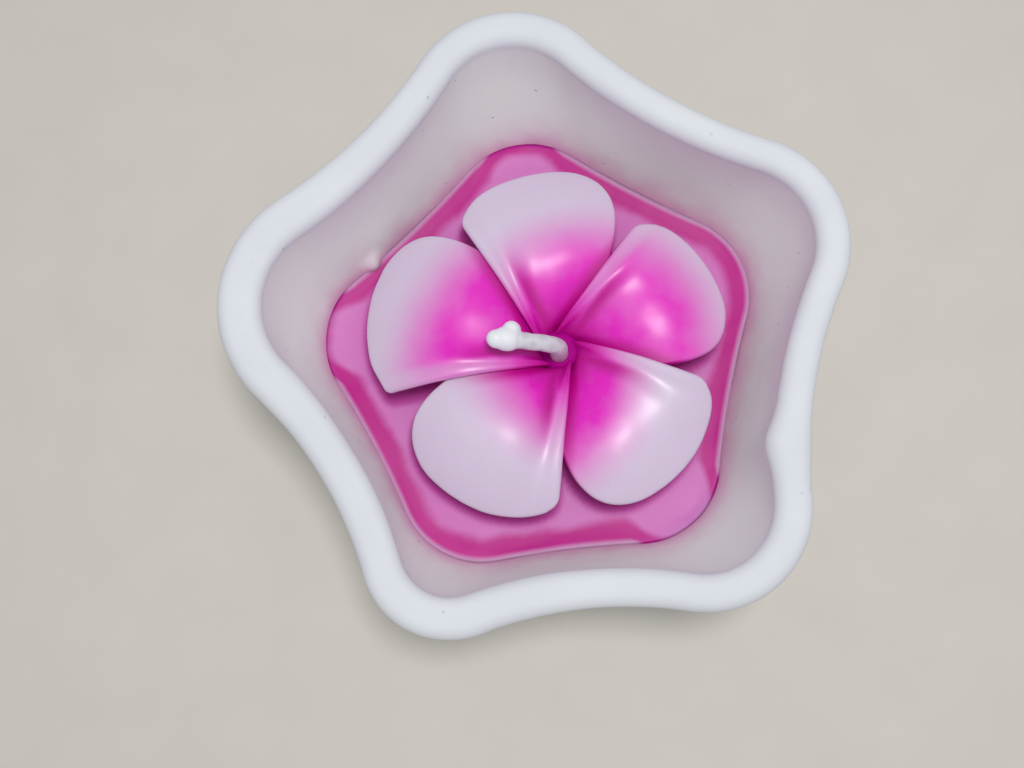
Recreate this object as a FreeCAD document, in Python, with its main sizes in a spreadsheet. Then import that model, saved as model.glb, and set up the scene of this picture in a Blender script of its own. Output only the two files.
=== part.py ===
# Decorated candle: a star-shaped cast dish filled with wax, and a five-petalled
# wax flower set in it round a waxed wick. Millimetres, +Z up. The origin is on the
# ground at the middle of the dish's flat foot.
import FreeCAD, Part
import math
import os
import Sketcher

LOBES = 5
STATIONS = 10
SOLVED = 0
LEVEL = 1e-4

# Every driving size, written once: its name, its value and what it is. Angles are
# in degrees, counted anticlockwise from +X as seen from above.
SIZES = [
    ("dish_height", 34.0, "ground to the top of the rim"),
    ("floor_thickness", 5.0, "dish floor under the wax"),
    ("foot_wall", 4.6, "wall beside the floor, foot outline to hollow"),
    ("rim_outer_round", 2.0, "rounding of the rim's outer edge"),
    ("rim_inner_round", 2.0, "rounding of the rim's inner edge"),
    ("foot_round", 3.0, "rounding round the foot"),
    ("wall_bow", 1.3, "how far the inner wall bows out between wax and rim"),
    ("wax_level", 12.0, "ground to the top of the poured wax"),
    ("wax_reach", 33.3, "dish axis to the end of a lobe of the wax"),
    ("wax_lobe_round", 12.4, "radius of the wax outline's lobes"),
    ("wax_waist_round", 152.0, "hollow arcs between the wax outline's lobes"),
    ("floor_inset", 1.6, "how far the hollow closes in from wax level to floor"),
    ("flower_x", 2.2, "flower centre from the dish axis"),
    ("flower_y", -0.1, "flower centre from the dish axis"),
    ("petal_wall", 1.4, "thickness of a petal"),
    ("petal_gap", 0.3, "clearance between a petal and the next one under it"),
    ("petal_swirl", 2.0, "offset of a petal's radial lines from the flower centre"),
    ("petal_bulge", 1.0, "crown of a petal across its width"),
    ("lip_lift", 0.4, "how far the free edge curls up"),
    ("lip_fold", 0.6, "height of the fold along the free edge"),
    ("lip_turn", 2.5, "turn over which the free edge thins to a round, in degrees"),
    ("corner_round", 1.8, "rounding of the petal's pointed corner"),
    ("claw_reach", 4.4, "flower centre line to the outside of the petal's claw"),
    ("claw_depth", 2.5, "how deep the claw is pressed into the wax"),
    ("knee_round", 2.0, "bend from the upright claw into the arch"),
    ("arch_round", 18.5, "radius of the petal's arch"),
    ("arch_reach", 15.0, "flower centre line to the crest of the arch"),
    ("arch_height", 5.4, "wax to the underside of the crest, at the lowest edge"),
    ("wick_diameter", 2.4, "braided wick with its wax"),
    ("wick_y", -0.5, "wick from the flower centre"),
    ("wick_rise", 7.5, "wax to the start of the wick's bend"),
    ("wick_bend_round", 4.0, "centre-line radius of the wick's bend"),
    ("wick_slope", 18.0, "rise of the wick's leaning end above level"),
    ("wick_lean", 177.0, "bearing in which the wick leans"),
    ("wick_end", 5.5, "straight stretch of the leaning end"),
    ("knot_diameter", 3.5, "wax-capped knot at the wick's end"),
    ("knot_length", 4.0, "the knot along the wick, half of it past the wick's end"),
    ("knot_round", 1.3, "rounding of the knot's ends"),
    ("tuft_diameter", 2.5, "tuft of splayed yarn beside the knot"),
    ("tuft_reach", 3.2, "wick's centre line to the tuft's tip"),
    ("tuft_round", 0.9, "rounding of the tuft's tip"),
    ("tuft_back", 0.6, "how far the tuft stands back from the wick's end"),
    ("tuft_turn", 260.0, "bearing of the tuft, from the way the wick leans"),
    ("tab_diameter", 12.0, "tin disc under the wick"),
    ("tab_sheet", 0.3, "thickness of the tin"),
    ("neck_height", 3.0, "crimped neck on the tin disc"),
    ("lobe_bearing_1", 23.8, "rim lobes, right"),
    ("lobe_bearing_2", 98.6, "top"),
    ("lobe_bearing_3", 172.7, "left"),
    ("lobe_bearing_4", 247.2, "bottom left"),
    ("lobe_bearing_5", 311.4, "bottom right"),
    ("lobe_reach_1", 43.9, "dish axis to the end of the lobe"),
    ("lobe_reach_2", 45.7, ""),
    ("lobe_reach_3", 44.8, ""),
    ("lobe_reach_4", 43.8, ""),
    ("lobe_reach_5", 45.6, ""),
    ("lobe_round_1", 14.9, "radius of the lobe"),
    ("lobe_round_2", 14.9, ""),
    ("lobe_round_3", 17.4, ""),
    ("lobe_round_4", 11.4, ""),
    ("lobe_round_5", 13.9, ""),
    ("waist_round_1", 65.0, "hollow arcs between the rim's lobes, each after its lobe"),
    ("waist_round_2", 64.0, ""),
    ("waist_round_3", 50.0, ""),
    ("waist_round_4", 49.0, ""),
    ("waist_round_5", 60.0, ""),
    ("rim_width_1", 5.1, "top of the wall at each lobe, outline to hollow"),
    ("rim_width_2", 5.5, ""),
    ("rim_width_3", 6.6, ""),
    ("rim_width_4", 5.9, ""),
    ("rim_width_5", 5.4, ""),
    ("wax_bearing_1", 25.9, "lobes of the wax, turned a little from the rim's"),
    ("wax_bearing_2", 96.5, ""),
    ("wax_bearing_3", 174.1, ""),
    ("wax_bearing_4", 243.5, ""),
    ("wax_bearing_5", 310.5, ""),
    ("petal_bearing_1", 99.0, "petal axes, anticlockwise from the top one"),
    ("petal_bearing_2", 166.5, ""),
    ("petal_bearing_3", 240.0, ""),
    ("petal_bearing_4", 317.0, ""),
    ("petal_bearing_5", 388.0, ""),
    ("petal_reach_1", 27.2, "flower centre to the petal's outer edge"),
    ("petal_reach_2", 29.3, ""),
    ("petal_reach_3", 26.7, ""),
    ("petal_reach_4", 25.2, ""),
    ("petal_reach_5", 25.0, ""),
    ("petal_spread_1", 1.02, "width of the petal, as a share of the sections' turn"),
    ("petal_spread_2", 1.02, ""),
    ("petal_spread_3", 1.13, ""),
    ("petal_spread_4", 1.17, ""),
    ("petal_spread_5", 1.06, ""),
    ("station_angle_1", -64.0, "petal sections, hidden edge first, from its axis"),
    ("station_angle_2", -53.0, ""),
    ("station_angle_3", -43.0, ""),
    ("station_angle_4", -35.0, ""),
    ("station_angle_5", -28.0, ""),
    ("station_angle_6", -18.0, ""),
    ("station_angle_7", -6.0, ""),
    ("station_angle_8", 6.0, ""),
    ("station_angle_9", 16.5, ""),
    ("station_angle_10", 22.0, ""),
    ("station_share_1", 0.28, "share of the petal's reach at each section"),
    ("station_share_2", 0.39, ""),
    ("station_share_3", 0.60, ""),
    ("station_share_4", 0.82, ""),
    ("station_share_5", 0.94, ""),
    ("station_share_6", 1.0, ""),
    ("station_share_7", 1.0, ""),
    ("station_share_8", 0.98, ""),
    ("station_share_9", 0.94, ""),
    ("station_share_10", 0.89, ""),
]

Z_AXIS = FreeCAD.Vector(0, 0, 1)


def size_sheet(doc):
    sheet = doc.addObject("Spreadsheet::Sheet", "Dimensions")
    for row, (name, value, meaning) in enumerate(SIZES, start=1):
        sheet.set("A%d" % row, name)
        sheet.set("B%d" % row, str(value))
        sheet.set("C%d" % row, meaning)
        sheet.setAlias("B%d" % row, name)
    doc.recompute()
    return sheet


def number(sheet, formula):
    # what a formula over the sheet's names comes to
    value = sheet.evalExpression(formula)
    return float(getattr(value, "Value", value))


def size(name):
    return "Dimensions." + name


def new_body(doc, label):
    body = doc.addObject("PartDesign::Body", label)
    body.Label = label
    return body


def sketch_on(body, role, name, offset):
    # a sketch on one of the body's own origin planes, moved by a formula
    plane = [item for item in body.Origin.OriginFeatures if item.Role == role][0]
    sketch = body.newObject("Sketcher::SketchObject", name)
    sketch.AttachmentSupport = (plane, [""])
    sketch.MapMode = "FlatFace"
    sketch.setExpression(".AttachmentOffset", offset)
    return sketch


def bind(sketch, sheet, kind, where, formula):
    # a dimension of the sketch that follows a formula over the sheet
    index = sketch.addConstraint(Sketcher.Constraint(kind, *where, number(sheet, formula)))
    sketch.setExpression("Constraints[%d]" % index, formula)


def solve(sketch):
    if sketch.solve() != SOLVED:
        raise RuntimeError("sketch %s does not solve" % sketch.Name)


def arc(centre, radius, start, end):
    if end < start:
        end += 2 * math.pi
    return Part.ArcOfCircle(Part.Circle(FreeCAD.Vector(*centre, 0), Z_AXIS, radius), start, end)


def bearing_of(origin, point):
    return math.atan2(point[1] - origin[1], point[0] - origin[0])


# The star outlines. Each is five lobe arcs joined by five hollow waist arcs that are
# tangent to both neighbours.
def star(prefix, reach, rounding, waist):
    # formulas of one outline, with %d for the number of the lobe or waist
    lobes = range(1, LOBES + 1)
    return {
        "bearing": [size("%s_bearing_%d" % (prefix, i)) for i in lobes],
        "reach": [reach.replace("%d", str(i)) for i in lobes],
        "round": [rounding.replace("%d", str(i)) for i in lobes],
        "waist": [waist.replace("%d", str(i)) for i in lobes],
    }


def rim_star(inset):
    return star(
        "lobe",
        "(Dimensions.lobe_reach_%d - " + inset + ")",
        "(Dimensions.lobe_round_%d - " + inset + ")",
        "(Dimensions.waist_round_%d + " + inset + ")",
    )


def wax_star(inset):
    return star(
        "wax",
        "(Dimensions.wax_reach - " + inset + ")",
        "(Dimensions.wax_lobe_round - " + inset + ")",
        "(Dimensions.wax_waist_round + " + inset + ")",
    )


def bowl_star():
    # the inner wall half way up: between the wax outline and the brim, bowed outwards
    low = wax_star("0")
    high = rim_star(size("rim_width_%d"))

    def half_way(key, bow):
        return ["((%s + %s) / 2 %s)" % (first, second, bow) for first, second in zip(low[key], high[key])]

    outwards = "+ " + size("wall_bow")
    return {
        "bearing": half_way("bearing", ""),
        "reach": half_way("reach", outwards),
        "round": half_way("round", outwards),
        "waist": half_way("waist", "- " + size("wall_bow")),
    }


def star_centres(bearings, reaches, rounds, hollows):
    # lobe centres, and the centres of the waist arcs outside them
    lobes = []
    for bearing, reach, rounding in zip(bearings, reaches, rounds):
        angle = math.radians(bearing)
        lobes.append(((reach - rounding) * math.cos(angle), (reach - rounding) * math.sin(angle)))
    waists = []
    for i in range(LOBES):
        here = lobes[i]
        there = lobes[(i + 1) % LOBES]
        near = rounds[i]
        far = rounds[(i + 1) % LOBES]
        waist = hollows[i]
        dx = there[0] - here[0]
        dy = there[1] - here[1]
        span = math.hypot(dx, dy)
        along = ((near + waist) ** 2 - (far + waist) ** 2 + span**2) / (2 * span)
        out = math.sqrt((near + waist) ** 2 - along**2)
        waists.append((here[0] + (along * dx + out * dy) / span, here[1] + (along * dy - out * dx) / span))
    return lobes, waists


def star_sketch(body, sheet, name, height, outline):
    sketch = sketch_on(body, "XY_Plane", name, "placement(vector(0; 0; %s); rotation(0; 0; 0))" % height)
    bearings = [number(sheet, f) for f in outline["bearing"]]
    reaches = [number(sheet, f) for f in outline["reach"]]
    rounds = [number(sheet, f) for f in outline["round"]]
    hollows = [number(sheet, f) for f in outline["waist"]]
    lobes, waists = star_centres(bearings, reaches, rounds, hollows)
    for i in range(LOBES):
        start = bearing_of(lobes[i], waists[i - 1])
        end = bearing_of(lobes[i], waists[i])
        sketch.addGeometry(arc(lobes[i], rounds[i], start, end))
    for i in range(LOBES):
        start = bearing_of(waists[i], lobes[(i + 1) % LOBES])
        end = bearing_of(waists[i], lobes[i])
        sketch.addGeometry(arc(waists[i], hollows[i], start, end))
    for i in range(LOBES):
        sketch.addConstraint(Sketcher.Constraint("Tangent", i, 2, LOBES + i, 2))
        sketch.addConstraint(Sketcher.Constraint("Tangent", LOBES + i, 1, (i + 1) % LOBES, 1))
    for i in range(LOBES):
        middle = "(%s - %s)" % (outline["reach"][i], outline["round"][i])
        bind(sketch, sheet, "Radius", (i,), outline["round"][i])
        bind(sketch, sheet, "DistanceX", (-1, 1, i, 3), "%s * cos(%s)" % (middle, outline["bearing"][i]))
        bind(sketch, sheet, "DistanceY", (-1, 1, i, 3), "%s * sin(%s)" % (middle, outline["bearing"][i]))
        bind(sketch, sheet, "Radius", (LOBES + i,), outline["waist"][i])
    solve(sketch)
    return sketch


def loft(doc, body, kind, name, sketches, ruled):
    feature = body.newObject("PartDesign::" + kind, name)
    feature.Profile = (sketches[0], [""])
    feature.Sections = [(sketch, [""]) for sketch in sketches[1:]]
    feature.Ruled = ruled
    doc.recompute()
    return feature


def level_edges(shape, height, outer):
    # edges that lie in the flat face at this height, on its outer or inner outline
    names = []
    for face in shape.Faces:
        box = face.BoundBox
        if abs(box.ZMin - height) > LEVEL or abs(box.ZMax - height) > LEVEL:
            continue
        for index, edge in enumerate(shape.Edges, start=1):
            for wire in face.Wires:
                on_wire = any(edge.isSame(other) for other in wire.Edges)
                if on_wire and wire.isSame(face.OuterWire) == outer:
                    names.append("Edge%d" % index)
    return names


def fillet(doc, sheet, body, name, base, height, outer, radius):
    edges = level_edges(base.Shape, number(sheet, height), outer)
    feature = body.newObject("PartDesign::Fillet", name)
    feature.Base = (base, edges)
    feature.setExpression("Radius", radius)
    doc.recompute()
    return feature


def make_dish(doc, sheet):
    body = new_body(doc, "dish")
    inset = size("floor_inset")
    foot = star_sketch(body, sheet, "foot_outline", "0",
                       wax_star("(%s - %s)" % (inset, size("foot_wall"))))
    rim = star_sketch(body, sheet, "rim_outline", size("dish_height"), rim_star("0"))
    loft(doc, body, "AdditiveLoft", "wall", [foot, rim], True)
    floor = star_sketch(body, sheet, "floor_outline", size("floor_thickness"), wax_star(inset))
    level = star_sketch(body, sheet, "wax_line", size("wax_level"), wax_star("0"))
    middle = "((%s + %s) / 2)" % (size("wax_level"), size("dish_height"))
    bowl = star_sketch(body, sheet, "bowl_outline", middle, bowl_star())
    brim = star_sketch(body, sheet, "brim_outline", size("dish_height"), rim_star(size("rim_width_%d")))
    loft(doc, body, "SubtractiveLoft", "hollow_below_wax", [floor, level], True)
    hollow = loft(doc, body, "SubtractiveLoft", "hollow_above_wax", [level, bowl, brim], False)
    top = size("dish_height")
    rounded = fillet(doc, sheet, body, "outer_rim_edge", hollow, top, True, size("rim_outer_round"))
    rounded = fillet(doc, sheet, body, "inner_rim_edge", rounded, top, False, size("rim_inner_round"))
    fillet(doc, sheet, body, "foot_edge", rounded, "0", True, size("foot_round"))
    return body


# The petals. Each is one loft through upright sections that fan round the flower
# centre. Every section is a claw, a knee and an arch, all offset outwards by the
# lift, which grows across the petal by one wall and one gap for each petal's turn,
# so that the free edge lies over the next petal's hidden edge.
def stations(spread):
    # turn, wall, lift and share of the reach for each section. The spread fans the
    # sections out from the free edge, the last one.
    first = size("station_angle_1")
    last = size("station_angle_%d" % STATIONS)
    pitch = "(360 / %d)" % LOBES
    rows = []
    for k in range(1, STATIONS + 1):
        base = size("station_angle_%d" % k)
        turn = "(%s + %s * (%s - %s))" % (last, spread, base, last)
        across = "((%s - %s) / (%s - %s))" % (base, first, last, first)
        lap = "(%s + %s) * (%s - %s) / %s" % (size("petal_wall"), size("petal_gap"), turn, first, pitch)
        crown = "%s * sin(180 * %s) ^ 2" % (size("petal_bulge"), across)
        curl = "%s * %s ^ 8" % (size("lip_lift"), across)
        fold = "%s * sin(180 * %s ^ 8) ^ 2" % (size("lip_fold"), across)
        rows.append({
            "turn": turn,
            "wall": size("petal_wall"),
            "lift": "(%s + %s + %s + %s)" % (lap, crown, curl, fold),
            "share": size("station_share_%d" % k),
            "short": "0",
        })
    # two thin sections round off the free edge along a quarter ellipse
    edge = rows[-1]
    for step in ("50", "75"):
        thin = "(%s * cos(%s))" % (size("petal_wall"), step)
        rows.append({
            "turn": "(%s + %s * sin(%s))" % (last, size("lip_turn"), step),
            "wall": thin,
            "lift": "(%s + (%s - %s) / 2)" % (edge["lift"], size("petal_wall"), thin),
            "share": edge["share"],
            "short": "(%s * (1 - cos(%s)))" % (size("corner_round"), step),
        })
    return rows


def petal_section(body, sheet, name, station, reach):
    turn = station["turn"]
    swirl = size("petal_swirl")
    offset = "placement(vector(-%s * sin(%s); 0; -%s * cos(%s)); rotation(vector(0; 1; 0); %s))" % (
        swirl, turn, swirl, turn, turn)
    sketch = sketch_on(body, "XZ_Plane", name, offset)
    wall = station["wall"]
    lower_arch = "(%s + %s)" % (size("arch_round"), station["lift"])
    upper_arch = "(%s + %s)" % (lower_arch, wall)
    lower_knee = "(%s + %s)" % (size("knee_round"), station["lift"])
    arch_z = "(%s + %s - %s)" % (size("wax_level"), size("arch_height"), size("arch_round"))
    knee_x = "(%s + %s)" % (size("claw_reach"), size("knee_round"))
    root = "(%s - %s)" % (size("wax_level"), size("claw_depth"))
    tip_x = "(%s * %s - %s - %s / 2)" % (reach, station["share"], station["short"], wall)
    low = number(sheet, lower_arch)
    high = number(sheet, upper_arch)
    thick = number(sheet, wall)
    knee_low = number(sheet, lower_knee)
    knee_high = knee_low + thick
    bottom = number(sheet, root)
    arch = (number(sheet, size("arch_reach")), number(sheet, arch_z))
    run = arch[0] - number(sheet, knee_x)
    drop = math.sqrt((low - knee_low) ** 2 - run**2)
    knee = (number(sheet, knee_x), arch[1] + drop)
    touch = bearing_of(arch, knee)
    end = math.acos((number(sheet, tip_x) - arch[0]) / (low + thick / 2))
    tip = (arch[0] + (low + thick / 2) * math.cos(end), arch[1] + (low + thick / 2) * math.sin(end))
    outside = knee[0] - knee_low
    inside = knee[0] - knee_high

    def straight(x1, y1, x2, y2):
        sketch.addGeometry(Part.LineSegment(FreeCAD.Vector(x1, y1, 0), FreeCAD.Vector(x2, y2, 0)))

    sketch.addGeometry(arc(arch, low, end, touch))
    sketch.addGeometry(arc(knee, knee_low, touch, math.pi))
    straight(outside, knee[1], outside, bottom)
    straight(outside, bottom, inside, bottom)
    straight(inside, bottom, inside, knee[1])
    sketch.addGeometry(arc(knee, knee_high, touch, math.pi))
    sketch.addGeometry(arc(arch, high, end, touch))
    sketch.addGeometry(arc(tip, thick / 2, end - math.pi, end))
    under, knee_under, claw_out, claw_end, claw_in, knee_over, over, nose = range(8)
    joined = [
        ("Coincident", over, 3, under, 3),
        ("Coincident", knee_over, 3, knee_under, 3),
        ("Tangent", under, 2, knee_under, 1),
        ("Tangent", knee_under, 2, claw_out, 1),
        ("Coincident", claw_out, 2, claw_end, 1),
        ("Coincident", claw_end, 2, claw_in, 1),
        ("Tangent", claw_in, 2, knee_over, 2),
        ("Tangent", knee_over, 1, over, 2),
        ("Tangent", over, 1, nose, 2),
        ("Tangent", nose, 1, under, 1),
        ("Vertical", claw_out),
        ("Vertical", claw_in),
        ("Horizontal", claw_end),
    ]
    for constraint in joined:
        sketch.addConstraint(Sketcher.Constraint(*constraint))
    bind(sketch, sheet, "DistanceX", (-1, 1, under, 3), size("arch_reach"))
    bind(sketch, sheet, "DistanceY", (-1, 1, under, 3), arch_z)
    bind(sketch, sheet, "DistanceX", (-1, 1, knee_under, 3), knee_x)
    bind(sketch, sheet, "Radius", (under,), lower_arch)
    bind(sketch, sheet, "Radius", (knee_under,), lower_knee)
    bind(sketch, sheet, "Radius", (over,), upper_arch)
    bind(sketch, sheet, "DistanceY", (-1, 1, claw_end, 1), root)
    bind(sketch, sheet, "DistanceX", (-1, 1, nose, 3), tip_x)
    solve(sketch)
    return sketch


def make_petal(doc, sheet, index):
    body = new_body(doc, "petal_%d" % index)
    sections = []
    for k, station in enumerate(stations(size("petal_spread_%d" % index)), start=1):
        name = "petal_%d_section_%d" % (index, k)
        sections.append(petal_section(body, sheet, name, station, size("petal_reach_%d" % index)))
    loft(doc, body, "AdditiveLoft", "petal_%d_sheet" % index, sections, False)
    body.setExpression(".Placement", "placement(vector(%s; %s; 0); rotation(vector(0; 0; 1); %s))" % (
        size("flower_x"), size("flower_y"), size("petal_bearing_%d" % index)))
    return body


# The wick stands on the dish floor in its tin tab, rises through the flower's
# throat and leans over. It ends in a wax-capped knot with a tuft of yarn beside it.
UNMOVED = "placement(vector(0; 0; 0); rotation(0; 0; 0))"


def wick_placement():
    return "placement(vector(%s; %s + %s; %s); rotation(vector(0; 0; 1); %s))" % (
        size("flower_x"), size("flower_y"), size("wick_y"), size("floor_thickness"), size("wick_lean"))


def wick_path(body, sheet, rise):
    # upright stretch, bend and leaning end, in the plane in which the wick bends
    sketch = sketch_on(body, "XZ_Plane", "wick_path", UNMOVED)
    bend = number(sheet, size("wick_bend_round"))
    slope = math.radians(number(sheet, size("wick_slope")))
    last = number(sheet, size("wick_end"))
    top = number(sheet, rise)
    corner = (bend * (1 - math.sin(slope)), top + bend * math.cos(slope))
    end = (corner[0] + last * math.cos(slope), corner[1] + last * math.sin(slope))
    sketch.addGeometry(Part.LineSegment(FreeCAD.Vector(0, 0, 0), FreeCAD.Vector(0, top, 0)))
    sketch.addGeometry(arc((bend, top), bend, math.pi / 2 + slope, math.pi))
    sketch.addGeometry(Part.LineSegment(FreeCAD.Vector(*corner, 0), FreeCAD.Vector(*end, 0)))
    upright, turn, leaning = range(3)
    sketch.addConstraint(Sketcher.Constraint("Coincident", upright, 1, -1, 1))
    sketch.addConstraint(Sketcher.Constraint("Vertical", upright))
    sketch.addConstraint(Sketcher.Constraint("Tangent", upright, 2, turn, 2))
    sketch.addConstraint(Sketcher.Constraint("Tangent", turn, 1, leaning, 1))
    bind(sketch, sheet, "DistanceY", (upright, 1, upright, 2), rise)
    bind(sketch, sheet, "Radius", (turn,), size("wick_bend_round"))
    for kind, way in (("DistanceX", "cos"), ("DistanceY", "sin")):
        bind(sketch, sheet, kind, (leaning, 1, leaning, 2),
             "%s * %s(%s)" % (size("wick_end"), way, size("wick_slope")))
    solve(sketch)
    return sketch


def stub(doc, sheet, body, name, role, offset, length, diameter, rounding):
    # a short round bar along the sketch's own X, with both ends rounded
    sketch = sketch_on(body, role, name + "_profile", offset)
    long = number(sheet, length)
    tall = number(sheet, diameter) / 2
    soft = number(sheet, rounding)
    flat = tall - soft
    points = [(0, 0), (long, 0), (long, flat), (long - soft, tall), (soft, tall), (0, flat)]
    points = [FreeCAD.Vector(x, y, 0) for x, y in points]
    sketch.addGeometry(Part.LineSegment(points[0], points[1]))
    sketch.addGeometry(Part.LineSegment(points[1], points[2]))
    sketch.addGeometry(arc((long - soft, flat), soft, 0, math.pi / 2))
    sketch.addGeometry(Part.LineSegment(points[3], points[4]))
    sketch.addGeometry(arc((soft, flat), soft, math.pi / 2, math.pi))
    sketch.addGeometry(Part.LineSegment(points[5], points[0]))
    axis, head, head_round, side, tail_round, tail = range(6)
    joined = [
        ("Coincident", axis, 1, -1, 1),
        ("PointOnObject", axis, 2, -1),
        ("Coincident", axis, 2, head, 1),
        ("Vertical", head),
        ("Tangent", head, 2, head_round, 1),
        ("Tangent", head_round, 2, side, 1),
        ("Tangent", side, 2, tail_round, 1),
        ("Tangent", tail_round, 2, tail, 1),
        ("Coincident", tail, 2, axis, 1),
        ("Vertical", tail),
        ("Equal", head_round, tail_round),
    ]
    for constraint in joined:
        sketch.addConstraint(Sketcher.Constraint(*constraint))
    bind(sketch, sheet, "DistanceX", (axis, 1, axis, 2), length)
    bind(sketch, sheet, "DistanceY", (-1, 1, side, 1), diameter + " / 2")
    bind(sketch, sheet, "Radius", (head_round,), rounding)
    solve(sketch)
    turned = body.newObject("PartDesign::Revolution", name)
    turned.Profile = (sketch, [""])
    turned.ReferenceAxis = (sketch, ["H_Axis"])
    turned.Angle = 360
    doc.recompute()


def make_wick(doc, sheet):
    body = new_body(doc, "wick")
    section = sketch_on(body, "XY_Plane", "wick_section", UNMOVED)
    radius = number(sheet, size("wick_diameter")) / 2
    section.addGeometry(Part.Circle(FreeCAD.Vector(0, 0, 0), Z_AXIS, radius))
    section.addConstraint(Sketcher.Constraint("Coincident", 0, 3, -1, 1))
    bind(section, sheet, "Diameter", (0,), size("wick_diameter"))
    solve(section)
    rise = "(%s + %s - %s)" % (size("wax_level"), size("wick_rise"), size("floor_thickness"))
    path = wick_path(body, sheet, rise)
    doc.recompute()
    pipe = body.newObject("PartDesign::AdditivePipe", "braid")
    pipe.Profile = (section, [""])
    pipe.Spine = (path, ["Edge1", "Edge2", "Edge3"])
    doc.recompute()
    along = "(%s - %s / 2)" % (size("wick_end"), size("knot_length"))
    knot_x = "%s * (1 - sin(%s)) + %s * cos(%s)" % (
        size("wick_bend_round"), size("wick_slope"), along, size("wick_slope"))
    knot_z = "%s + %s * cos(%s) + %s * sin(%s)" % (
        rise, size("wick_bend_round"), size("wick_slope"), along, size("wick_slope"))
    stub(doc, sheet, body, "knot", "XZ_Plane",
         "placement(vector(%s; %s; 0); rotation(vector(0; 0; 1); %s))" % (
             knot_x, knot_z, size("wick_slope")),
         size("knot_length"), size("knot_diameter"), size("knot_round"))
    tuft_x = "%s * (1 - sin(%s)) + %s * cos(%s) - %s" % (
        size("wick_bend_round"), size("wick_slope"), size("wick_end"), size("wick_slope"),
        size("tuft_back"))
    tuft_z = "%s + %s * cos(%s) + %s * sin(%s)" % (
        rise, size("wick_bend_round"), size("wick_slope"), size("wick_end"), size("wick_slope"))
    stub(doc, sheet, body, "tuft", "XY_Plane",
         "placement(vector(%s; 0; %s); rotation(vector(0; 0; 1); %s))" % (
             tuft_x, tuft_z, size("tuft_turn")),
         size("tuft_reach"), size("tuft_diameter"), size("tuft_round"))
    body.setExpression(".Placement", wick_placement())
    return body


def make_tab(doc, sheet):
    # a tin disc with a neck crimped round the wick, turned from its half section
    body = new_body(doc, "wick_tab")
    sketch = sketch_on(body, "XZ_Plane", "tab_profile", UNMOVED)
    bore = size("wick_diameter") + " / 2"
    neck = "(%s / 2 + %s)" % (size("wick_diameter"), size("tab_sheet"))
    disc = size("tab_diameter") + " / 2"
    rows = [(bore, "0"), (disc, "0"), (disc, size("tab_sheet")), (neck, size("tab_sheet")),
            (neck, size("neck_height")), (bore, size("neck_height"))]
    points = [FreeCAD.Vector(number(sheet, x), number(sheet, y), 0) for x, y in rows]
    for k, point in enumerate(points):
        sketch.addGeometry(Part.LineSegment(point, points[(k + 1) % len(points)]))
    for k in range(len(points)):
        sketch.addConstraint(Sketcher.Constraint("Coincident", k, 2, (k + 1) % len(points), 1))
        sketch.addConstraint(Sketcher.Constraint("Vertical" if k % 2 else "Horizontal", k))
    sketch.addConstraint(Sketcher.Constraint("PointOnObject", 0, 1, -1))
    bind(sketch, sheet, "DistanceX", (-1, 1, 0, 1), bore)
    bind(sketch, sheet, "DistanceX", (-1, 1, 1, 1), disc)
    bind(sketch, sheet, "DistanceX", (-1, 1, 3, 1), neck)
    bind(sketch, sheet, "DistanceY", (1, 1, 1, 2), size("tab_sheet"))
    bind(sketch, sheet, "DistanceY", (-1, 1, 4, 1), size("neck_height"))
    solve(sketch)
    turned = body.newObject("PartDesign::Revolution", "pressed_tin")
    turned.Profile = (sketch, [""])
    turned.ReferenceAxis = (sketch, ["V_Axis"])
    turned.Angle = 360
    doc.recompute()
    body.setExpression(".Placement", wick_placement())
    return body


def make_wax(doc, sheet, petals, wick, tab):
    # the wax fills the hollow, and what was set in it while it was soft leaves its room
    body = new_body(doc, "poured_wax")
    floor = star_sketch(body, sheet, "wax_floor", size("floor_thickness"), wax_star(size("floor_inset")))
    level = star_sketch(body, sheet, "wax_top", size("wax_level"), wax_star("0"))
    loft(doc, body, "AdditiveLoft", "fill", [floor, level], True)
    inset = doc.addObject("Part::Compound", "set_in_wax")
    inset.Links = petals + [wick, tab]
    doc.recompute()
    wax = doc.addObject("Part::Cut", "wax_pool")
    wax.Base = body
    wax.Tool = inset
    wax.Label = "wax_pool"
    doc.recompute()
    return wax


def check(doc, parts):
    for item in doc.Objects:
        if "Invalid" in item.State or "Error" in item.State:
            raise RuntimeError("%s failed: %s" % (item.Name, item.State))
    for part in parts:
        if part.Shape.isNull() or not part.Shape.isValid():
            raise RuntimeError("%s has no valid shape" % part.Label)


def write(parts):
    os.makedirs("parts", exist_ok=True)
    for part in parts:
        part.Shape.exportStep("parts/%s.step" % part.Label)
        print("%-10s %d solid, %8.1f mm3" % (part.Label, len(part.Shape.Solids), part.Shape.Volume))


def main():
    doc = FreeCAD.newDocument("decorated_candle")
    sheet = size_sheet(doc)
    dish = make_dish(doc, sheet)
    petals = [make_petal(doc, sheet, index) for index in range(1, LOBES + 1)]
    wick = make_wick(doc, sheet)
    tab = make_tab(doc, sheet)
    doc.recompute()
    wax = make_wax(doc, sheet, petals, wick, tab)
    doc.recompute()
    parts = [dish, wax] + petals + [wick, tab]
    check(doc, parts)
    write(parts)


main()
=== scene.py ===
# %% [markdown]
# # A decorated candle, dressed in Blender
# The drawing of this candle is packed as plain solids: a star-shaped dish, the wax
# poured into it, five petals and a wick. This lesson gives each solid the surface of
# the real thing: cast plaster, poured wax, pressed wax with a dye sprayed into the
# throat of the flower, and cotton dipped in wax.
# Everything is in metres in the end, in the drawing's own frame: +Z is up and the
# origin lies on the table under the middle of the dish.

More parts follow.
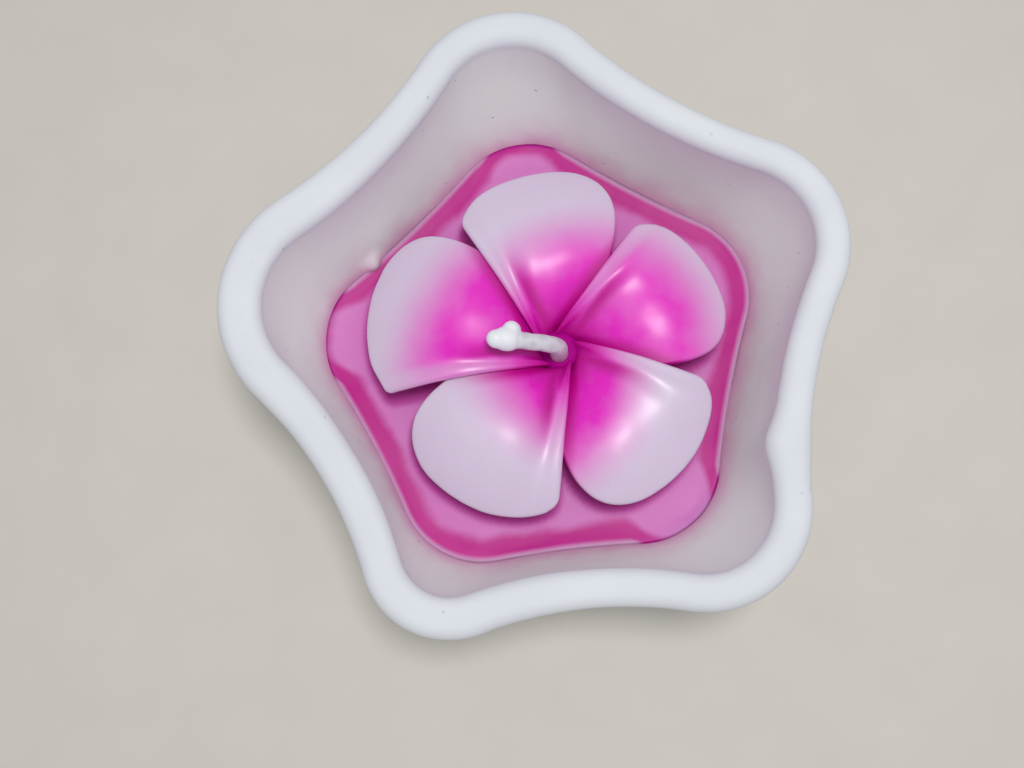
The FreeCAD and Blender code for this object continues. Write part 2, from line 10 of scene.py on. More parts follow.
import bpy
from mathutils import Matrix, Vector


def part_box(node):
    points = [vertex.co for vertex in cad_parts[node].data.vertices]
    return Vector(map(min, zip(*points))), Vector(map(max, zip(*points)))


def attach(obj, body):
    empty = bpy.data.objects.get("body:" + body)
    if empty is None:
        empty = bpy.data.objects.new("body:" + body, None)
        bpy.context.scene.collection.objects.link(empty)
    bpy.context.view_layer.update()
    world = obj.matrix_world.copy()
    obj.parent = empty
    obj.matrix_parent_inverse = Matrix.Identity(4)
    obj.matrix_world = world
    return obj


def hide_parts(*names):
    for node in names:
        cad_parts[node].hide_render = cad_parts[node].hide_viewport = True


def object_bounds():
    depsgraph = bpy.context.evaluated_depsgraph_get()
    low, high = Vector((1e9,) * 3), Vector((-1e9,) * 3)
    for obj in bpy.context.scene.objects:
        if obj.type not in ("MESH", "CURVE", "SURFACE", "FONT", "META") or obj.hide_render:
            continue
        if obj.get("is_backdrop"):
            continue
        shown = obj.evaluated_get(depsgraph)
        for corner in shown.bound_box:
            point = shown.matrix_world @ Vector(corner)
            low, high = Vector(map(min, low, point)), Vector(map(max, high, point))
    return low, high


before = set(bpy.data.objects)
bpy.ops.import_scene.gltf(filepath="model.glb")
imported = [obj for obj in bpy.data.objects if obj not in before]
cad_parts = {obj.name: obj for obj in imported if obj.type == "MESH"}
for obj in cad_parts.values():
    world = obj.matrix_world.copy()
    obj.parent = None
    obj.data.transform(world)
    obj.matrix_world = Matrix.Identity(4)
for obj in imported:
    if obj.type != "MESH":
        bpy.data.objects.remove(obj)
cad_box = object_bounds()
print("drawing box, mm:", [[round(v * 1000, 2) for v in corner] for corner in cad_box])

# %% [markdown]
# ## The bench
# The sizes below are written in millimetres, as a maker would say them, and are
# turned to metres where a mesh is made. Colours are picked as sRGB hex values, the way
# a paint chart or a picture gives them, but a shader works with linear light, so one
# function turns them over. One more function adds a node with its settings and links,
# and a few short ones use it for what every finish needs: noise of a known size, a
# blend of two colours, a ramp, a sum, a relief and a number read from the mesh.

# %% Bench tools
import math

import bmesh
import bpy
import numpy as np
from mathutils import Quaternion, Vector, kdtree, noise

MM = 0.001


def paint(code):
    """An sRGB hex colour as the linear colour that a shader takes."""
    parts = [int(code[i:i + 2], 16) / 255 for i in (1, 3, 5)]
    linear = [p / 12.92 if p <= 0.04045 else ((p + 0.055) / 1.055) ** 2.4 for p in parts]
    return (*linear, 1.0)


def plug(tree, node, inputs):
    """Sets a node's inputs, by name or place, to values, or links them to sockets."""
    for name, value in inputs.items():
        if isinstance(value, bpy.types.NodeSocket):
            tree.links.new(value, node.inputs[name])
        else:
            node.inputs[name].default_value = value


def add(tree, kind, inputs=None, **settings):
    """A new node with its own settings, and with its inputs set or linked."""
    fresh = tree.nodes.new(kind)
    for name, value in settings.items():
        setattr(fresh, name, value)
    plug(tree, fresh, inputs or {})
    return fresh


def grain(size):
    """The scale of a texture whose patches are this many millimetres across."""
    return 1 / (size * MM)


def cloud(tree, place, size, detail):
    """Soft noise with patches of this many millimetres."""
    inputs = {"Vector": place, "Scale": grain(size), "Detail": detail}
    return add(tree, "ShaderNodeTexNoise", inputs).outputs["Fac"]


def blend(tree, factor, low, high):
    """A mix of two colours, each a hex value or a socket."""
    low, high = (paint(colour) if isinstance(colour, str) else colour for colour in (low, high))
    inputs = {"Factor": factor, 6: low, 7: high}
    return add(tree, "ShaderNodeMix", inputs, data_type="RGBA").outputs[2]


def ramp(tree, value, start, stop, low=0.0, high=1.0, **settings):
    """A value carried over from one range to another."""
    inputs = {"Value": value, "From Min": start, "From Max": stop, "To Min": low, "To Max": high}
    return add(tree, "ShaderNodeMapRange", inputs, **settings).outputs[0]


def sums(tree, operation, one, two, clamp=False):
    """Two numbers or sockets put together by a named operation."""
    settings = {"operation": operation, "use_clamp": clamp}
    return add(tree, "ShaderNodeMath", {0: one, 1: two}, **settings).outputs[0]


def relief(tree, height, strength, depth, **settings):
    """A fine relief that only the shading shows, this many millimetres deep."""
    inputs = {"Height": height, "Strength": strength, "Distance": depth * MM}
    return add(tree, "ShaderNodeBump", inputs, **settings)


def mark(tree, name):
    """A number that each point of the mesh keeps under this name."""
    return add(tree, "ShaderNodeAttribute", attribute_name=name).outputs["Fac"]


def object_place(tree):
    """The place of each point, in the drawing's own frame."""
    return add(tree, "ShaderNodeTexCoord").outputs["Object"]


# %% [markdown]
# ## Camera
# The candle is seen from above, from about 13 cm over its rim and a little from the
# front, so the near wall hides its own outside and the far wall shows its inside.
# The place and the tilt were found by fitting the rim and the wax line to a picture,
# and the lens is the one that gives the dish its width in the frame.

# %% Camera
EYE = (-0.5, -28.9, 167.2)
TILT = (8.9, 1.6)
FRAME_WIDTH = 1024
FOCAL_PIXELS = 1036
SENSOR = 36.0

camera = bpy.data.objects.new("camera", bpy.data.cameras.new("camera"))
camera.data.sensor_width = SENSOR
camera.data.lens = SENSOR * FOCAL_PIXELS / FRAME_WIDTH
camera.data.clip_start = 10 * MM
camera.location = Vector(EYE) * MM
camera.rotation_mode = "QUATERNION"
camera.rotation_quaternion = Quaternion((*TILT, 0), math.radians(math.hypot(*TILT)))
bpy.context.scene.collection.objects.link(camera)
bpy.context.scene.camera = camera
print("camera: %.1f mm lens, %.0f mm over the table" % (camera.data.lens, EYE[2]))

# %% [markdown]
# ## Light and floor
# Wax shows its form by its highlights. A small soft lamp, higher than the lens and a
# little to its right, puts one on the crest of every petal and a small bright one on
# every lip, and keeps the shadows short. A pale world fills them, and a matt floor
# carries the dish.

# %% Light and floor
KEY_PLACE = (25, 0, 340)
KEY_SIZE = 70
KEY_POWER = 0.5
FILL = 0.5
ROOM = "#f2f4f7"
CARD = ("#d6cfc6", "#ded8cf")
CARD_REACH = 1500
CARD_FIBRE = 4.0

key = bpy.data.objects.new("key_lamp", bpy.data.lights.new("key_lamp", "AREA"))
key.data.shape = "DISK"
key.data.size = KEY_SIZE * MM
key.data.energy = KEY_POWER
key.location = Vector(KEY_PLACE) * MM
key.rotation_mode = "QUATERNION"
key.rotation_quaternion = key.location.to_track_quat("Z", "Y")
bpy.context.scene.collection.objects.link(key)

world = bpy.data.worlds.new("pale_room")
world.use_nodes = True
world.node_tree.nodes["Background"].inputs["Color"].default_value = paint(ROOM)
world.node_tree.nodes["Background"].inputs["Strength"].default_value = FILL
bpy.context.scene.world = world
bpy.context.scene.view_settings.view_transform = "Standard"


def new_finish(name):
    """A material with its node tree and its main shader."""
    finish = bpy.data.materials.new(name)
    finish.use_nodes = True
    return finish, finish.node_tree, finish.node_tree.nodes["Principled BSDF"]


floor_mesh = bpy.data.meshes.new("floor")
reach = CARD_REACH * MM
corners = [(-reach, -reach, 0), (reach, -reach, 0), (reach, reach, 0), (-reach, reach, 0)]
floor_mesh.from_pydata(corners, [], [(0, 1, 2, 3)])
floor = bpy.data.objects.new("floor", floor_mesh)
bpy.context.scene.collection.objects.link(floor)
matt_card, card_tree, card_shader = new_finish("matt_card")
fibres = add(card_tree, "ShaderNodeTexNoise", {"Scale": grain(CARD_FIBRE), "Detail": 6.0})
plug(card_tree, card_shader, {
    "Base Color": blend(card_tree, fibres.outputs["Fac"], *CARD), "Roughness": 0.9})
floor_mesh.materials.append(matt_card)
floor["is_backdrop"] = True
lamp_away = math.dist(KEY_PLACE, (0, 0, cad_box[1][2] / MM))
print("lamp %.0f mm wide, %.0f mm from the rim" % (KEY_SIZE, lamp_away))

# %% [markdown]
# ## Skinning rings
# Each piece here is a skin over rings of points: level outlines for the dish and the
# wax, cross-sections for the petals and the wick. All rings have the same number of
# points, so neighbours join in four-sided faces, which bend and shade well. A ring
# can be closed to one middle point, as at the foot of the dish.
# Hand-cast things are never quite even, so a second helper moves every point a
# little along its own normal, by noise of a given size and height.

# %% Rings to a mesh
def mark_points(mesh, name, values):
    """Keeps one number for each point with the mesh, for a finish to read."""
    kept = mesh.attributes.new(name, "FLOAT", "POINT")
    kept.data.foreach_set("value", np.asarray(values).reshape(-1))


def skin(name, rings, marks=None, middles=(None, None)):
    """A smooth skin over rings of points in mm, closed at its ends where a middle is given."""
    rings = np.asarray(rings, dtype=float)
    rows, count = rings.shape[:2]
    row, point = np.meshgrid(np.arange(rows - 1), np.arange(count), indexing="ij")
    after = (point + 1) % count
    quads = np.stack([row * count + point, row * count + after,
                      (row + 1) * count + after, (row + 1) * count + point], axis=-1)
    faces = quads.reshape(-1, 4).tolist()
    points = rings.reshape(-1, 3).tolist()
    marks = {key: list(np.asarray(value).reshape(-1)) for key, value in (marks or {}).items()}
    for ring, middle in ((0, middles[0]), (rows - 1, middles[1])):
        if middle is None:
            continue
        points.append(middle)
        for value in marks.values():
            value.append(value[ring * count])
        for k in range(count):
            edge = [ring * count + k, ring * count + (k + 1) % count]
            faces.append([len(points) - 1] + (edge[::-1] if ring == 0 else edge))
    mesh = bpy.data.meshes.new(name)
    mesh.from_pydata((np.array(points) * MM).tolist(), [], faces)
    mesh.shade_smooth()
    for key, value in marks.items():
        mark_points(mesh, key, value)
    piece = bpy.data.objects.new(name, mesh)
    bpy.context.scene.collection.objects.link(piece)
    return piece


def points_of(mesh):
    """Places and normals of a mesh's points, places in mm."""
    places = np.empty(len(mesh.vertices) * 3)
    normals = np.empty(len(mesh.vertices) * 3)
    mesh.vertices.foreach_get("co", places)
    mesh.vertex_normals.foreach_get("vector", normals)
    return places.reshape(-1, 3) / MM, normals.reshape(-1, 3)


def push(mesh, heights):
    """Moves each point along its normal by its height in mm."""
    places, normals = points_of(mesh)
    places += normals * np.asarray(heights)[:, None]
    mesh.vertices.foreach_set("co", (places * MM).reshape(-1))
    mesh.update()


def smooth_step(value, low, high):
    """0 up to the low value, 1 from the high one, and a soft step between them."""
    share = np.clip((np.asarray(value, dtype=float) - low) / (high - low), 0, 1)
    return share * share * (3 - 2 * share)


DRIFT = (7.3, 3.1, 5.7)


def unevenness(places, waves, seed):
    """Soft noise at each place: waves are pairs of patch size and height in mm."""
    drift = Vector([seed * step for step in DRIFT])
    total = np.zeros(len(places))
    for size, height in waves:
        total += [height * noise.noise(Vector(place) / size + drift) for place in places]
    return total


# %% [markdown]
# ## Star outlines
# The dish and the wax in it have star outlines: five round lobes joined by five hollow
# waists, each arc tangent to the next. The lobes are not alike, because the master was
# made by hand. Points keep their place along the outline when it is drawn smaller, so
# rings at different heights can be skinned, and an outline drawn smaller by one
# millimetre runs exactly one millimetre inside the first.

# %% Star outlines
LOBES = 5
ARC_POINTS = 44
# bearing in degrees, reach from the middle and radius of each lobe
RIM_LOBES = [(23.8, 43.9, 14.9), (98.6, 45.7, 14.9), (172.7, 44.8, 17.4),
             (247.2, 43.8, 11.4), (311.4, 45.6, 13.9)]
RIM_WAISTS = [65.0, 64.0, 50.0, 49.0, 60.0]
WAX_LOBES = [(bearing, 33.3, 12.4) for bearing in (25.9, 96.5, 174.1, 243.5, 310.5)]
WAX_WAISTS = [152.0] * LOBES


def star(lobes, waists, inset):
    """Points of a star outline drawn smaller by the inset."""
    centres = []
    for bearing, reach, radius in lobes:
        angle = math.radians(bearing)
        centres.append(((reach - radius) * math.cos(angle), (reach - radius) * math.sin(angle)))
    hollows = []
    for i in range(LOBES):
        here, there = centres[i], centres[(i + 1) % LOBES]
        near, far, waist = lobes[i][2], lobes[(i + 1) % LOBES][2], waists[i]
        span = math.dist(here, there)
        way = ((there[0] - here[0]) / span, (there[1] - here[1]) / span)
        along = ((near + waist) ** 2 - (far + waist) ** 2 + span**2) / (2 * span)
        out = math.sqrt((near + waist) ** 2 - along**2)
        hollows.append((here[0] + along * way[0] + out * way[1],
                        here[1] + along * way[1] - out * way[0]))
    points = []
    for i in range(LOBES):
        arcs = [(centres[i], lobes[i][2] - inset, hollows[i - 1], hollows[i], 1),
                (hollows[i], waists[i] + inset, centres[i], centres[(i + 1) % LOBES], -1)]
        for centre, radius, first, last, side in arcs:
            start = math.atan2(first[1] - centre[1], first[0] - centre[0])
            turn = math.atan2(last[1] - centre[1], last[0] - centre[0]) - start
            turn = turn % (2 * math.pi) if side > 0 else -(-turn % (2 * math.pi))
            angles = start + turn * np.arange(ARC_POINTS) / ARC_POINTS
            ray = np.stack([np.cos(angles), np.sin(angles)], axis=1)
            points.append(np.array(centre) + radius * ray)
    return np.concatenate(points)


rim_line = star(RIM_LOBES, RIM_WAISTS, 0)
print("rim outline %.1f by %.1f mm" % tuple(rim_line.max(axis=0) - rim_line.min(axis=0)))

# %% [markdown]
# ## The dish
# The dish is slip or plaster cast in a mould: flat foot, leaning wall and a flat rim
# whose edges were softened by hand. The rim is broadest at the left lobe. Inside, the
# wall drops steeply under the rim and then runs in towards the wax, so it is a slight
# bowl: a curve through the wax outline, a bowed one half way up and the rim's own.
# It could be a solid with bevelled edges, but rings give control where it counts: each
# ring is one level of the wall, and the soft edges are true arcs between two
# directions. The heights come from the drawing.

# %% Dish sizes
RIM_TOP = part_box("dish")[1][2] / MM
WAX_LEVEL = 12.0
FLOOR_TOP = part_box("wick_tab")[0][2] / MM
RIM_WIDTHS = [5.1, 5.5, 6.6, 5.9, 5.4]
FOOT_WALL = 4.6
FLOOR_INSET = 1.6
OUTER_EDGE = 2.0
INNER_EDGE = 2.0
FOOT_EDGE = 3.0
WALL_BOW = 1.3
EDGE_RINGS = 9
WALL_RINGS = 46
# rings of the inner wall above and under the wax, and the gap under the rounded edge
INNER_RINGS = (40, 6)
UNDER_EDGE = 0.6
# the foot's flat middle starts this far inside the wax outline, and runs in by shares
FOOT_MIDDLE = 9.0
SPOKES = (0.25, 0.5, 0.75)
# a level under the rim that gives the direction of the inner wall there
BELOW_RIM = 2.5

WAX_STAR = (WAX_LOBES, WAX_WAISTS)
BRIM_STAR = ([(bearing, reach - width, radius - width)
              for (bearing, reach, radius), width in zip(RIM_LOBES, RIM_WIDTHS)],
             [waist + width for waist, width in zip(RIM_WAISTS, RIM_WIDTHS)])
BOWL_STAR = ([((b1 + b2) / 2, (reach1 + reach2) / 2 + WALL_BOW, (radius1 + radius2) / 2 + WALL_BOW)
              for (b1, reach1, radius1), (b2, reach2, radius2) in zip(WAX_LOBES, BRIM_STAR[0])],
             [(low + high) / 2 - WALL_BOW for low, high in zip(WAX_WAISTS, BRIM_STAR[1])])


def at_height(outline, height):
    return np.column_stack([outline, np.full(len(outline), height)])


def inner_wall(height, inset=0.0):
    """The ring where the inner wall of the dish is, at a height between its floor and its rim."""
    if height < WAX_LEVEL:
        share = (WAX_LEVEL - height) / (WAX_LEVEL - FLOOR_TOP)
        return at_height(star(*WAX_STAR, FLOOR_INSET * share + inset), height)
    share = (height - WAX_LEVEL) / (RIM_TOP - WAX_LEVEL)
    # the curve through three levels: its weights are 1 at their own level, 0 at the others
    weights = ((1 - share) * (1 - 2 * share), 4 * share * (1 - share), share * (2 * share - 1))
    lines = [star(*shape, inset) for shape in (WAX_STAR, BOWL_STAR, BRIM_STAR)]
    return at_height(sum(weight * line for weight, line in zip(weights, lines)), height)


def soft_edge(before, corner, after, radius):
    """Rings that round the corner between two directions with a true arc."""
    one = (before - corner) / np.linalg.norm(before - corner, axis=1)[:, None]
    two = (after - corner) / np.linalg.norm(after - corner, axis=1)[:, None]
    angle = np.arccos(np.clip((one * two).sum(axis=1), -1, 1))[:, None]
    middle = one + two
    middle /= np.linalg.norm(middle, axis=1)[:, None]
    centre = corner + middle * radius / np.sin(angle / 2)
    start = (corner + one * radius / np.tan(angle / 2) - centre) / radius
    end = (corner + two * radius / np.tan(angle / 2) - centre) / radius
    sweep = math.pi - angle
    shares = np.linspace(0, 1, EDGE_RINGS)
    rays = [start * np.sin((1 - t) * sweep) + end * np.sin(t * sweep) for t in shares]
    return [centre + radius * ray / np.sin(sweep) for ray in rays]


# %% Dish mesh
def between_rings(first, last, shares):
    return [first + (last - first) * share for share in shares]


def towards_middle(ring, shares):
    return [ring * (share, share, 1) for share in shares]


foot_corner = at_height(star(*WAX_STAR, FLOOR_INSET - FOOT_WALL), 0)
foot_inner = at_height(star(*WAX_STAR, FOOT_MIDDLE), 0)
rim_corner = at_height(rim_line, RIM_TOP)
brim_corner = inner_wall(RIM_TOP)
outer_edge = soft_edge(foot_corner, rim_corner, brim_corner, OUTER_EDGE)
inner_edge = soft_edge(rim_corner, brim_corner, inner_wall(RIM_TOP - BELOW_RIM), INNER_EDGE)

dish_rings = towards_middle(foot_inner, SPOKES) + [foot_inner]
dish_rings += soft_edge(foot_inner, foot_corner, rim_corner, FOOT_EDGE)
dish_rings += between_rings(dish_rings[-1], outer_edge[0], np.linspace(0, 1, WALL_RINGS)[1:-1])
dish_rings += outer_edge
dish_rings += between_rings(outer_edge[-1], inner_edge[0], (0.33, 0.67))
dish_rings += inner_edge
wall_top = inner_edge[-1][:, 2].min() - UNDER_EDGE
heights = np.concatenate([np.linspace(wall_top, WAX_LEVEL, INNER_RINGS[0]),
                          np.linspace(WAX_LEVEL, FLOOR_TOP, INNER_RINGS[1])[1:]])
dish_rings += [inner_wall(height) for height in heights]
dish_rings += towards_middle(dish_rings[-1], SPOKES[::-1])

dish_rings = np.array(dish_rings)
is_inside = np.zeros(dish_rings.shape[:2])
is_inside[-(len(heights) + len(SPOKES)):] = 1
dish = skin("plaster_dish", dish_rings, {"inside": is_inside}, ((0, 0, 0), (0, 0, FLOOR_TOP)))
dish_places = points_of(dish.data)[0]
print("dish: %d faces" % len(dish.data.polygons))

# %% [markdown]
# ## Marks of the casting
# The cast is not perfect. The surface swells and sinks by about a tenth of a
# millimetre, as plaster does when a mould is rubbed down by hand. There is a shallow
# dimple in the rim on the left, a soft lump on the rim's inner edge at the right, and
# a chip of plaster that stands into the wax at the upper left.

# %% Casting marks
CAST_WAVES = [(14.0, 0.16), (5.0, 0.035), (1.3, 0.01)]
FOOT_FADE = 2.0
# place in mm, radius and height of each mark
CAST_MARKS = [
    ((-38.6, 9.7, 34.0), 1.3, -0.35),
    ((28.9, -15.5, 32.5), 3.2, 1.3),
    ((-26.4, 14.2, 12.8), 1.4, 1.3),
]
cast = unevenness(dish_places, CAST_WAVES, seed=1)
# the flat foot stays flat: the marks fade out in its last millimetres
cast *= np.clip(dish_places[:, 2] / FOOT_FADE, 0, 1)
for place, radius, height in CAST_MARKS:
    away = np.linalg.norm(dish_places - place, axis=1) / radius
    cast += height * np.exp(-away**2)
push(dish.data, cast)
print("casting marks from %.2f to %.2f mm" % (cast.min(), cast.max()))

# %% [markdown]
# ## Cast plaster
# Plaster is a matt, chalky white mineral: a rough dielectric whose IOR is about 1.5.
# It has no gloss, so its form shows only by soft shade. Up close it has a fine grain
# left by the mould, and a few pinholes where air sat against it, darkened with painted
# shade. Its white leans to blue, a little uneven. Inside it is painted brighter and a
# little warmer, as light bounced from the pink wax would make it: a white of its own.
# It drinks dye: a rosy stain climbs from the wax line and fades within a few
# millimetres. The stain follows the height above the wax, broken up by noise.

# %% Cast plaster
WHITE = "#e6eaee"
SHADED_WHITE = "#d9dbe2"
INSIDE_LIT_WHITE = "#edf0ee"
STAIN = "#d98abb"
GRAIN = 0.35
PINHOLE = 3.0
PIT_SHADE_WHITE = "#b9bdc4"
# a pinhole is full at the first share of that spacing from its middle, gone at the second
PIT_REACH = (0.03, 0.09)
PIT_SHADE = 0.6
BLOTCH = 11.0
# the stain is down to this share after each climb, and noise stretches the climbs
STAIN_CLIMB = 1.3
STAIN_FADE = 0.30
STAIN_STRETCH = 3.4
STAIN_TATTER = 5.0


def cast_plaster():
    finish, tree, shader = new_finish("cast_plaster")
    place = object_place(tree)
    inside = mark(tree, "inside")
    white = blend(tree, cloud(tree, place, BLOTCH, 4.0), SHADED_WHITE, WHITE)
    # inside, a brighter and warmer white: painted light bounced from the wax
    lit_inside = blend(tree, inside, white, INSIDE_LIT_WHITE)
    # the stain falls off with the height above the wax, counted in climbs
    level = add(tree, "ShaderNodeSeparateXYZ", {"Vector": place}).outputs["Z"]
    climbs = ramp(tree, level, WAX_LEVEL * MM, (WAX_LEVEL + STAIN_CLIMB) * MM, clamp=False)
    stretch = sums(tree, "MULTIPLY", cloud(tree, place, STAIN_TATTER, 5.0), STAIN_STRETCH)
    faded = sums(tree, "POWER", STAIN_FADE, sums(tree, "DIVIDE", climbs, stretch), clamp=True)
    stained = sums(tree, "MULTIPLY", faded, inside, clamp=True)
    colour = blend(tree, stained, lit_inside, STAIN)
    # a soft pit at the middle of about half of the cells of a cell pattern
    cells = add(tree, "ShaderNodeTexVoronoi", {"Vector": place, "Scale": grain(PINHOLE)})
    chosen = sums(tree, "GREATER_THAN", cells.outputs["Color"], 0.5)
    near = ramp(tree, cells.outputs["Distance"], PIT_REACH[1], PIT_REACH[0])
    pits = sums(tree, "MULTIPLY", near, chosen)
    # the pits are darkened: painted shade in the hollows
    shaded = blend(tree, sums(tree, "MULTIPLY", pits, PIT_SHADE), colour, PIT_SHADE_WHITE)
    # the grain of the mould, then the pinholes, as one relief
    grained = relief(tree, cloud(tree, place, GRAIN, 3.0), 0.18, 0.05)
    pitted = relief(tree, pits, 0.6, 0.15, invert=True)
    plug(tree, pitted, {"Normal": grained.outputs[0]})
    plug(tree, shader, {
        "Base Color": shaded, "Normal": pitted.outputs[0],
        "Roughness": 0.82, "IOR": 1.5, "Specular IOR Level": 0.3})
    return finish


dish.data.materials.append(cast_plaster())
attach(dish, "root")
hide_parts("dish")
print("plaster: grain %.2f mm, pinholes every %.1f mm" % (GRAIN, PINHOLE))

# %% [markdown]
# ## The poured wax
# Hot dyed wax is poured into the dish and the petals are set in it while it is soft.
# As it cools it clings to the plaster and climbs it by about half a millimetre, and
# its face sinks and ripples a little. The skin is drawn as rings that run along the
# wall, so each point knows how far it is from the wall, and its colour follows that.
# In the middle the wax was pushed up into the throat of the flower by the petals.

# %% Poured wax mesh
FLOWER = (2.2, -0.1)
CLIMB = 0.45
CLIMB_WIDTH = 1.8
THROAT_WAX = 4.2
# places where wax was topped up, how far that reaches, and how much wider the gap to
# the wall counts there
TOPPED_UP = [((20.5, -24.0), 9.0, 3.8), ((-32.0, 3.0), 8.0, 3.0), ((-3.5, 32.0), 7.0, 1.7)]
# the hidden sides keep this far from the plaster, and the top edge runs this far into it
TUCK = 0.12
EDGE_GAPS = (0.0, 0.12, 0.25, 0.4, 0.6, 0.8, 1.05, 1.35, 1.7)
WALL_GAPS = np.concatenate([EDGE_GAPS, np.arange(2.1, 11.0, 0.45)])
SHRINKS = np.linspace(0.96, 0.02, 34)
# the wax stands full height in the throat up to the first distance from its middle
# and is level at the second
THROAT_STEP = (2.4, 5.0)
RIPPLES = [(9.0, 0.22), (3.0, 0.06)]
CALM_EDGE = 1.2

pool_rings = towards_middle(inner_wall(FLOOR_TOP, TUCK), (0.3, 0.6, 0.9))
pool_rings += [inner_wall(height, TUCK) for height in np.linspace(FLOOR_TOP, WAX_LEVEL, 5)]
pool_gaps = [0.0] * len(pool_rings)
top_start = len(pool_rings)
for gap in WALL_GAPS:
    rise = WAX_LEVEL + CLIMB * math.exp(-((gap / CLIMB_WIDTH) ** 1.6))
    pool_rings.append(inner_wall(WAX_LEVEL, gap - TUCK * (gap == 0)) * (1, 1, 0) + (0, 0, rise))
    pool_gaps.append(gap)
flower_foot = np.array([*FLOWER, WAX_LEVEL])
last_level = pool_rings[-1]
for share in SHRINKS:
    ring = flower_foot + (last_level - flower_foot) * share
    from_flower = np.linalg.norm(ring[:, :2] - FLOWER, axis=1)
    ring[:, 2] += THROAT_WAX * (1 - smooth_step(from_flower, *THROAT_STEP))
    pool_rings.append(ring)
    pool_gaps.append(WALL_GAPS[-1] + 10 * (1 - share))
pool_rings[top_start] = inner_wall(WAX_LEVEL + CLIMB, -TUCK)
pool_rings = np.array(pool_rings)
gap_mark = np.repeat(np.array(pool_gaps)[:, None], pool_rings.shape[1], axis=1)
ring_mark = gap_mark.copy()
for place, reach, gain in TOPPED_UP:
    away = np.linalg.norm(pool_rings[:, :, :2] - place, axis=2)
    ring_mark += gain * (1 - smooth_step(away, reach / 3, reach))
pool = skin("poured_wax", pool_rings, {"wall_gap": ring_mark},
            ((0, 0, FLOOR_TOP), (*FLOWER, WAX_LEVEL + THROAT_WAX)))
pool_places = points_of(pool.data)[0]
ripple = unevenness(pool_places, RIPPLES, seed=2)
# only the face ripples, and not where it clings to the wall
ripple *= np.clip((pool_places[:, 2] - WAX_LEVEL + 0.6) / 0.4, 0, 1)
middle_gaps = (0, 9)
ripple *= np.clip(np.append(gap_mark.reshape(-1), middle_gaps) / CALM_EDGE, 0, 1)
push(pool.data, ripple)
print("wax face ripples from %.2f to %.2f mm" % (ripple.min(), ripple.max()))

# %% [markdown]
# ## Poured paraffin wax
# Candle wax is a cloudy dielectric with an IOR near 1.44. Light goes in and comes out
# some millimetres away, red furthest, so the magenta glows and its shadows stay warm.
# The face is satin: it cooled against air. On the plaster itself it is only a thin
# pale film. Then comes a deep ring in the wax's own colour, and the open face inside
# is paler: a painted sheen, the lamp's reflection on a level face, with a bloom as old
# wax has. The ring is missing where the wax was topped up later. Close to the petals,
# a little more to the lower left, the wax is painted deep as their shade, and the
# throat is deep too.

# %% Poured wax
WAX_FILM = "#dd9cca"
WAX_SHEEN_AND_BLOOM = "#dd82ca"
WAX_EDGE = "#ca1294"
WAX_SHADE_AND_THROAT = "#b80692"
BLOOM = 8.0
# gaps to the wall, in mm, between which the film turns to the ring and the ring to the face
TO_RING = (0.0, 0.9)
TO_FACE = (2.2, 4.1)


def poured_paraffin():
    finish, tree, shader = new_finish("poured_paraffin")
    place = object_place(tree)
    gap = mark(tree, "wall_gap")
    shade_and_throat = mark(tree, "shade_and_throat")
    stir = ramp(tree, cloud(tree, place, BLOOM, 3.0), 0.3, 0.7, -0.5, 0.5)
    wavy_gap = sums(tree, "ADD", gap, stir)
    to_ring = ramp(tree, gap, *TO_RING, interpolation_type="SMOOTHSTEP")
    to_face = ramp(tree, wavy_gap, *TO_FACE, interpolation_type="SMOOTHSTEP")
    edge = blend(tree, to_ring, WAX_FILM, WAX_EDGE)
    # the open face is paler: a painted sheen, with bloom
    face = blend(tree, to_face, edge, WAX_SHEEN_AND_BLOOM)
    satin = relief(tree, cloud(tree, place, 1.2, 3.0), 0.2, 0.05)
    plug(tree, shader, {
        # close to the petals the colour is deep: painted shade, and in the throat the wax's own
        # deep colour
        "Base Color": blend(tree, shade_and_throat, face, WAX_SHADE_AND_THROAT),
        "Normal": satin.outputs[0],
        # what the petals squeeze up has no free face, so it shines less, and so does the painted
        # shade by the petals
        "Specular IOR Level": ramp(tree, shade_and_throat, 0.0, 1.0, 0.35, 0.03),
        "Roughness": 0.46,
        "IOR": 1.44,
        "Subsurface Weight": 0.65,
        "Subsurface Radius": (1.0, 0.4, 0.75),
        "Subsurface Scale": 2.5 * MM,
    })
    return finish


pool.data.materials.append(poured_paraffin())
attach(pool, "root")
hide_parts("wax_pool")
print("poured wax: deep ring from %.1f to %.1f mm off the wall" % (TO_RING[1], TO_FACE[0]))

# %% [markdown]
# ## The petals
# Each petal is pressed from a sheet of warm wax about 1.4 mm thick and bent over a
# form: a claw that goes down into the pool, a knee, and a broad arch that comes down
# to the tip. The five are set one after another, each with its left edge over its
# neighbour, so they turn round the wick like a pinwheel.
# One cross-section in an upright plane describes this, and it is fanned out round the
# middle of the flower. From the hidden edge to the free one it is lifted by one sheet
# and one small gap for every fifth of a turn, so the petals lap without touching.

# %% Petal sizes
SHEET = 1.4
LAP_GAP = 0.3
SWIRL = 2.0
CROWN = 1.0
LIP_LIFT = 0.4
LIP_FOLD = 0.6
CLAW = 4.4
CLAW_DEPTH = 2.5
KNEE = 2.0
ARCH = 18.5
CREST = 15.0
CREST_HEIGHT = 5.4
HIDDEN_EDGE = -64.0
FREE_EDGE = 22.0
LIP_TURN = 2.5
# turn from the petal's axis in degrees, and the share of its reach there
PETAL_OUTLINE = [(-64, 0.28), (-53, 0.39), (-43, 0.60), (-35, 0.82), (-28, 0.94),
                 (-18, 1.0), (-6, 1.0), (6, 0.98), (16.5, 0.94), (22, 0.89)]
